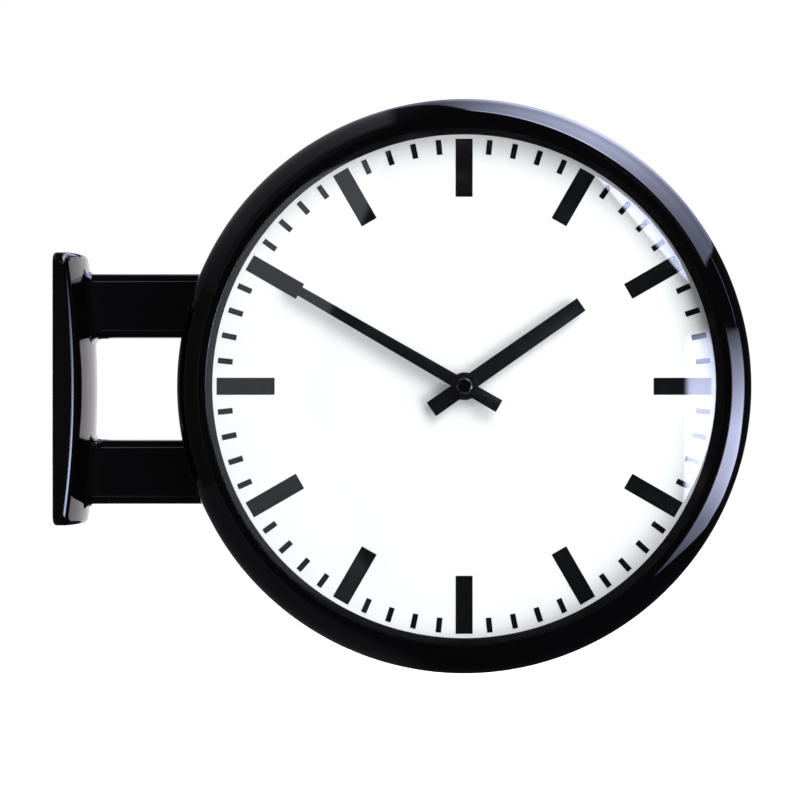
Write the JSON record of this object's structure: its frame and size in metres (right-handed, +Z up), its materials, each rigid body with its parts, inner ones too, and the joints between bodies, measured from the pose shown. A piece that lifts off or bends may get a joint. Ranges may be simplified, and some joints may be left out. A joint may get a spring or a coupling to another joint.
{
  "type": "double sided station clock",
  "caption": "Round station clock with a white dial on each side in a gloss black drum, carried by a two armed wall bracket.",
  "frame": {"origin": "centre of the wall plate's back face, on the wall", "axes": "+X straight out from the wall, +Y from the front dial to the rear dial, +Z up"},
  "size_m": [0.376, 0.084, 0.31],
  "materials": {
    "black_gloss": "polished black moulding",
    "clear_glass": "clear domed glass",
    "dial_white": "smooth satin white paint",
    "mark_black": "printed black ink",
    "black_matte": "fine matt black moulding",
    "ivory_plastic": "natural acetal",
    "board_green": "green solder mask",
    "coil_copper": "enamelled copper winding",
    "soft_steel": "nickel plated strip",
    "brass_bright": "turned brass",
    "battery_jacket": "printed film jacket, plain",
    "hand_black": "satin black paint",
    "zinc_steel": "zinc plated steel",
    "screw_steel": "zinc plated, recessed head"
  },
  "bodies": {
    "base": {"case_ring": "black_gloss", "bracket_cover": "black_gloss", "wall_plate": "zinc_steel", "carrier": "zinc_steel", "arm_bars": "zinc_steel", "bar_plugs": "zinc_steel", "clamp_plate": "zinc_steel", "clamp_bolts": "screw_steel", "clamp_washers": "screw_steel", "locking_screws": "screw_steel"},
    "front_bezel_body": {"front_bezel": "black_gloss", "front_lens": "clear_glass", "front_lens_ring": "black_gloss"},
    "front_dial_unit_body": {"front_dial": "dial_white", "front_dial_marks": "mark_black", "front_movement_case": "black_matte", "front_movement_cover": "black_matte", "front_train_bridge": "ivory_plastic", "front_circuit_board": "board_green", "front_coil": "coil_copper", "front_stator": "soft_steel", "front_battery": "battery_jacket", "front_battery_contacts": "soft_steel", "front_mounting_nut": "brass_bright"},
    "front_minute_hand_body": {"front_minute_hand": "hand_black", "front_hand_cap": "black_gloss", "front_centre_wheel": "brass_bright"},
    "front_hour_hand_body": {"front_hour_hand": "hand_black", "front_hour_wheel": "ivory_plastic"},
    "front_intermediate_body": {"front_intermediate_wheel": "ivory_plastic", "front_setting_knob": "black_matte"},
    "front_third_body": {"front_third_wheel": "ivory_plastic"},
    "front_second_body": {"front_second_wheel": "ivory_plastic"},
    "front_fifth_body": {"front_fifth_wheel": "ivory_plastic"},
    "front_rotor_body": {"front_rotor": "ivory_plastic"},
    "rear_bezel_body": {"rear_bezel": "black_gloss", "rear_lens": "clear_glass", "rear_lens_ring": "black_gloss"},
    "rear_dial_unit_body": {"rear_dial": "dial_white", "rear_dial_marks": "mark_black", "rear_movement_case": "black_matte", "rear_movement_cover": "black_matte", "rear_train_bridge": "ivory_plastic", "rear_circuit_board": "board_green", "rear_coil": "coil_copper", "rear_stator": "soft_steel", "rear_battery": "battery_jacket", "rear_battery_contacts": "soft_steel", "rear_mounting_nut": "brass_bright"},
    "rear_minute_hand_body": {"rear_minute_hand": "hand_black", "rear_hand_cap": "black_gloss", "rear_centre_wheel": "brass_bright"},
    "rear_hour_hand_body": {"rear_hour_hand": "hand_black", "rear_hour_wheel": "ivory_plastic"},
    "rear_intermediate_body": {"rear_intermediate_wheel": "ivory_plastic", "rear_setting_knob": "black_matte"},
    "rear_third_body": {"rear_third_wheel": "ivory_plastic"},
    "rear_second_body": {"rear_second_wheel": "ivory_plastic"},
    "rear_fifth_body": {"rear_fifth_wheel": "ivory_plastic"},
    "rear_rotor_body": {"rear_rotor": "ivory_plastic"}
  },
  "joints": [
    {"name": "front_bezel_pull", "type": "slide", "parent": "base", "child": "front_bezel_body", "axis": [0, -1, 0], "range_m": [0, 0.07]},
    {"name": "front_dial_pull", "type": "slide", "parent": "base", "child": "front_dial_unit_body", "axis": [0, -1, 0], "range_m": [0, 0.035]},
    {"name": "front_minute_turn", "type": "hinge", "parent": "front_dial_unit_body", "child": "front_minute_hand_body", "pos_m": [0.221, 0, 0.0014], "axis": [0, 1, 0], "continuous": true},
    {"name": "front_hour_turn", "type": "hinge", "parent": "front_dial_unit_body", "child": "front_hour_hand_body", "pos_m": [0.221, 0, 0.0014], "axis": [0, 1, 0], "continuous": true},
    {"name": "front_intermediate_turn", "type": "hinge", "parent": "front_dial_unit_body", "child": "front_intermediate_body", "pos_m": [0.2285, 0, 0.0014], "axis": [0, 1, 0], "continuous": true},
    {"name": "front_third_turn", "type": "hinge", "parent": "front_dial_unit_body", "child": "front_third_body", "pos_m": [0.21796, 0, 0.00793], "axis": [0, 1, 0], "continuous": true},
    {"name": "front_second_turn", "type": "hinge", "parent": "front_dial_unit_body", "child": "front_second_body", "pos_m": [0.221, 0, 0.0014], "axis": [0, 1, 0], "continuous": true},
    {"name": "front_fifth_turn", "type": "hinge", "parent": "front_dial_unit_body", "child": "front_fifth_body", "pos_m": [0.21813, 0, -0.0027], "axis": [0, 1, 0], "continuous": true},
    {"name": "front_rotor_turn", "type": "hinge", "parent": "front_dial_unit_body", "child": "front_rotor_body", "pos_m": [0.21371, 0, -0.0027], "axis": [0, 1, 0], "continuous": true},
    {"name": "rear_bezel_pull", "type": "slide", "parent": "base", "child": "rear_bezel_body", "axis": [0, 1, 0], "range_m": [0, 0.07]},
    {"name": "rear_dial_pull", "type": "slide", "parent": "base", "child": "rear_dial_unit_body", "axis": [0, 1, 0], "range_m": [0, 0.035]},
    {"name": "rear_minute_turn", "type": "hinge", "parent": "rear_dial_unit_body", "child": "rear_minute_hand_body", "pos_m": [0.221, 0, 0.0014], "axis": [0, -1, 0], "continuous": true},
    {"name": "rear_hour_turn", "type": "hinge", "parent": "rear_dial_unit_body", "child": "rear_hour_hand_body", "pos_m": [0.221, 0, 0.0014], "axis": [0, -1, 0], "continuous": true},
    {"name": "rear_intermediate_turn", "type": "hinge", "parent": "rear_dial_unit_body", "child": "rear_intermediate_body", "pos_m": [0.2135, 0, 0.0014], "axis": [0, -1, 0], "continuous": true},
    {"name": "rear_third_turn", "type": "hinge", "parent": "rear_dial_unit_body", "child": "rear_third_body", "pos_m": [0.22404, 0, 0.00793], "axis": [0, -1, 0], "continuous": true},
    {"name": "rear_second_turn", "type": "hinge", "parent": "rear_dial_unit_body", "child": "rear_second_body", "pos_m": [0.221, 0, 0.0014], "axis": [0, -1, 0], "continuous": true},
    {"name": "rear_fifth_turn", "type": "hinge", "parent": "rear_dial_unit_body", "child": "rear_fifth_body", "pos_m": [0.22387, 0, -0.0027], "axis": [0, -1, 0], "continuous": true},
    {"name": "rear_rotor_turn", "type": "hinge", "parent": "rear_dial_unit_body", "child": "rear_rotor_body", "pos_m": [0.22829, 0, -0.0027], "axis": [0, -1, 0], "continuous": true}
  ],
  "couplings": [
    {"joint": "front_dial_pull", "follows": "front_bezel_pull", "ratio": 0.5},
    {"joint": "front_hour_turn", "follows": "front_minute_turn", "ratio": 0.083333},
    {"joint": "front_intermediate_turn", "follows": "front_minute_turn", "ratio": -0.33333},
    {"joint": "front_third_turn", "follows": "front_minute_turn", "ratio": -8},
    {"joint": "front_second_turn", "follows": "front_minute_turn", "ratio": 60},
    {"joint": "front_fifth_turn", "follows": "front_minute_turn", "ratio": -240},
    {"joint": "front_rotor_turn", "follows": "front_minute_turn", "ratio": 1800},
    {"joint": "rear_dial_pull", "follows": "rear_bezel_pull", "ratio": 0.5},
    {"joint": "rear_hour_turn", "follows": "rear_minute_turn", "ratio": 0.083333},
    {"joint": "rear_intermediate_turn", "follows": "rear_minute_turn", "ratio": -0.33333},
    {"joint": "rear_third_turn", "follows": "rear_minute_turn", "ratio": -8},
    {"joint": "rear_second_turn", "follows": "rear_minute_turn", "ratio": 60},
    {"joint": "rear_fifth_turn", "follows": "rear_minute_turn", "ratio": -240},
    {"joint": "rear_rotor_turn", "follows": "rear_minute_turn", "ratio": 1800}
  ]
}
